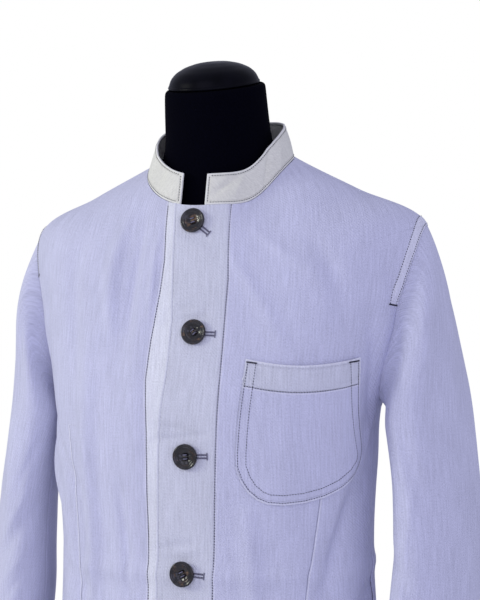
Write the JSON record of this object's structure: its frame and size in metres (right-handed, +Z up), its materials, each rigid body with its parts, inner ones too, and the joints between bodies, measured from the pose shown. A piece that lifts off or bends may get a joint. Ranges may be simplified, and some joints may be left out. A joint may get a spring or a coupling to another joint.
{
  "type": "band-collar denim jacket on a limbless dress form",
  "caption": "White denim jacket with a band collar, buttoned front, patch chest pocket and long sleeves, worn by a dark dress form on a round foot.",
  "frame": {"origin": "middle of the round foot's underside, on the surface that the dress form stands on", "axes": "+Z up along the stand, -Y out of the jacket's front, +X towards the wearer's left"},
  "size_m": [0.5448, 0.32, 1.0166],
  "materials": {
    "denim": "off-white cotton twill with dark topstitching",
    "pocketing": "dark olive cotton pocketing, matt",
    "horn": "polished dark horn, mottled brown",
    "jersey": "matt black-navy stretch jersey",
    "gloss_black": "gloss black lacquer",
    "dark_metal": "satin dark grey paint"
  },
  "bodies": {
    "root": {"front_left": "denim", "front_right": "denim", "back": "denim", "collar": "denim", "sleeve_left_top": "denim", "sleeve_left_under": "denim", "sleeve_right_top": "denim", "sleeve_right_under": "denim", "chest_pocket": "denim", "side_pocket_left": "pocketing", "side_pocket_right": "pocketing", "button_1": "horn", "button_2": "horn", "button_3": "horn", "button_4": "horn", "button_5": "horn", "form_body": "jersey", "neck_cap": "gloss_black", "stand_pole": "dark_metal", "stand_foot": "gloss_black"}
  },
  "joints": []
}
